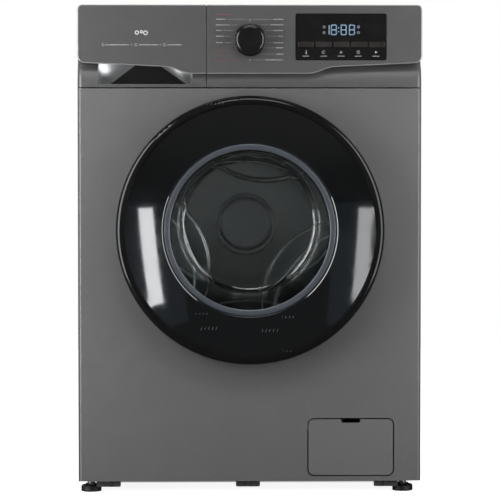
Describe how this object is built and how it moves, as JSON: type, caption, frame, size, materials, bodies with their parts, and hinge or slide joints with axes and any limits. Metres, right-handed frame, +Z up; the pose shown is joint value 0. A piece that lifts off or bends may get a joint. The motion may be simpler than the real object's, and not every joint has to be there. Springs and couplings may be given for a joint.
{
  "type": "front load washing machine",
  "caption": "Freestanding front loading washing machine with round door, dispenser drawer, programme knob, sprung tub, driven drum and pump filter flap.",
  "frame": {"origin": "on the floor under the middle of the machine's outer box, door and knob included", "axes": "+X to the right seen from the front, +Y from the front to the back, +Z up"},
  "size_m": [0.595, 0.544, 0.845],
  "materials": {
    "side_steel": "satin dark grey powder coat",
    "body_paint": "fine metallic dark grey paint",
    "zinc_steel": "zinc coated sheet",
    "screw_steel": "bright zinc",
    "top_laminate": "fine textured dark laminate",
    "rail_steel": "dark grey paint",
    "console_plastic": "metallic dark grey moulding",
    "display_black": "gloss black window",
    "board_green": "solder mask green",
    "inner_plastic": "grey moulding",
    "white_plastic": "white moulding",
    "fitting_plastic": "black moulding",
    "gasket_rubber": "soft grey rubber",
    "spring_steel": "oiled spring steel",
    "hose_rubber": "ribbed black rubber",
    "tub_plastic": "filled polypropylene",
    "concrete": "cast weight",
    "bearing_steel": "ground steel",
    "motor_grey": "lacquered motor",
    "heater_steel": "stainless tube",
    "belt_rubber": "ribbed belt",
    "stainless": "brushed stainless",
    "lifter_plastic": "grey moulding",
    "cast_aluminium": "as cast",
    "door_black": "gloss black moulding",
    "smoked_cover": "smoked clear dish",
    "bowl_glass": "pressed glass",
    "back_ring_plastic": "grey moulding",
    "tray_plastic": "light grey moulding",
    "knob_black": "gloss black moulding",
    "filter_plastic": "dark moulding",
    "foot_plastic": "black moulding",
    "button_silver": "dark silver bars"
  },
  "bodies": {
    "root": {"left_side_panel": "side_steel", "right_side_panel": "side_steel", "rear_panel": "zinc_steel", "rear_cover": "zinc_steel", "cabinet_screws": "screw_steel", "worktop": "top_laminate", "front_panel": "body_paint", "base_rails": "rail_steel", "top_braces": "zinc_steel", "control_fascia": "console_plastic", "display_window": "display_black", "control_board": "board_green", "dispenser_housing": "inner_plastic", "inlet_valve": "white_plastic", "rear_fittings": "fitting_plastic", "hinge_bracket": "zinc_steel", "hinge_pin": "screw_steel", "door_lock": "inner_plastic", "door_gasket": "gasket_rubber", "suspension_springs": "spring_steel", "damper_cylinders": "inner_plastic", "drain_pump": "inner_plastic", "inner_hoses": "hose_rubber", "flap_frame": "fitting_plastic"},
    "tub": {"tub_front": "tub_plastic", "tub_rear": "tub_plastic", "tub_bolts": "screw_steel", "top_counterweight": "concrete", "front_counterweight": "concrete", "drum_bearings": "bearing_steel", "damper_rods": "screw_steel", "drive_motor": "motor_grey", "heater": "heater_steel", "gasket_clamp": "screw_steel", "drive_belt": "belt_rubber"},
    "drum": {"drum_shell": "stainless", "drum_lifters": "lifter_plastic", "drum_spider": "cast_aluminium", "drum_pulley": "cast_aluminium"},
    "motor_rotor": {"motor_pulley": "screw_steel"},
    "door": {"door_outer_ring": "door_black", "door_cover": "smoked_cover", "door_glass": "bowl_glass", "door_back_ring": "back_ring_plastic", "door_hinge_arm": "zinc_steel"},
    "latch": {"latch_hook": "screw_steel"},
    "drawer": {"drawer_front": "console_plastic", "drawer_tray": "tray_plastic"},
    "knob": {"programme_knob": "knob_black"},
    "flap": {"service_flap": "console_plastic"},
    "filter": {"pump_filter": "filter_plastic"},
    "front_left_foot_body": {"front_left_foot": "foot_plastic"},
    "front_right_foot_body": {"front_right_foot": "foot_plastic"},
    "rear_left_foot_body": {"rear_left_foot": "foot_plastic"},
    "rear_right_foot_body": {"rear_right_foot": "foot_plastic"},
    "temperature_button_body": {"temperature_button": "button_silver"},
    "speed_button_body": {"speed_button": "button_silver"},
    "option_button_body": {"option_button": "button_silver"},
    "delay_button_body": {"delay_button": "button_silver"},
    "start_button_body": {"start_button": "button_silver"}
  },
  "joints": [
    {"name": "tub_suspension", "type": "slide", "parent": "root", "child": "tub", "axis": [0, 0, 1], "range_m": [-0.01, 0.01], "stiffness_N_per_m": 14000, "springref_m": 0.04369, "deforming": ["suspension_springs", "door_gasket", "inner_hoses"]},
    {"name": "drum_spin", "type": "hinge", "parent": "tub", "child": "drum", "pos_m": [0, 0.1, 0.457], "axis": [0, 1, 0], "continuous": true},
    {"name": "motor_spin", "type": "hinge", "parent": "tub", "child": "motor_rotor", "pos_m": [0.07, 0.2, 0.121], "axis": [0, 1, 0], "continuous": true},
    {"name": "door_hinge", "type": "hinge", "parent": "root", "child": "door", "pos_m": [-0.209, -0.253, 0.457], "axis": [0, 0, -1], "range_deg": [0, 120]},
    {"name": "latch_pivot", "type": "hinge", "parent": "door", "child": "latch", "pos_m": [0.181, -0.234, 0.457], "axis": [0, 0, 1], "range_deg": [0, 8], "stiffness_Nm_per_rad": 2, "springref_deg": -5.73},
    {"name": "drawer_slide", "type": "slide", "parent": "root", "child": "drawer", "axis": [0, -1, 0], "range_m": [0, 0.2]},
    {"name": "knob_turn", "type": "hinge", "parent": "root", "child": "knob", "pos_m": [0, -0.24, 0.784], "axis": [0, 1, 0], "continuous": true},
    {"name": "flap_hinge", "type": "hinge", "parent": "root", "child": "flap", "pos_m": [0.1755, -0.2226, 0.0333], "axis": [1, 0, 0], "range_deg": [0, 75]},
    {"name": "filter_turn", "type": "hinge", "parent": "root", "child": "filter", "pos_m": [0.15, -0.2, 0.08], "axis": [0, -1, 0], "range_deg": [0, 90]},
    {"name": "temperature_press", "type": "slide", "parent": "root", "child": "temperature_button_body", "axis": [0, 1, 0], "range_m": [0, 0.001], "stiffness_N_per_m": 900, "springref_m": -0.001},
    {"name": "speed_press", "type": "slide", "parent": "root", "child": "speed_button_body", "axis": [0, 1, 0], "range_m": [0, 0.001], "stiffness_N_per_m": 900, "springref_m": -0.001},
    {"name": "option_press", "type": "slide", "parent": "root", "child": "option_button_body", "axis": [0, 1, 0], "range_m": [0, 0.001], "stiffness_N_per_m": 900, "springref_m": -0.001},
    {"name": "delay_press", "type": "slide", "parent": "root", "child": "delay_button_body", "axis": [0, 1, 0], "range_m": [0, 0.001], "stiffness_N_per_m": 900, "springref_m": -0.001},
    {"name": "start_press", "type": "slide", "parent": "root", "child": "start_button_body", "axis": [0, 1, 0], "range_m": [0, 0.001], "stiffness_N_per_m": 900, "springref_m": -0.001},
    {"name": "front_left_foot_screw", "type": "slide", "parent": "root", "child": "front_left_foot_body", "axis": [0, 0, -1], "range_m": [0, 0.015]},
    {"name": "front_right_foot_screw", "type": "slide", "parent": "root", "child": "front_right_foot_body", "axis": [0, 0, -1], "range_m": [0, 0.015]},
    {"name": "rear_left_foot_screw", "type": "slide", "parent": "root", "child": "rear_left_foot_body", "axis": [0, 0, -1], "range_m": [0, 0.015]},
    {"name": "rear_right_foot_screw", "type": "slide", "parent": "root", "child": "rear_right_foot_body", "axis": [0, 0, -1], "range_m": [0, 0.015]}
  ],
  "couplings": [
    {"joint": "motor_spin", "follows": "drum_spin", "ratio": 12.727}
  ]
}
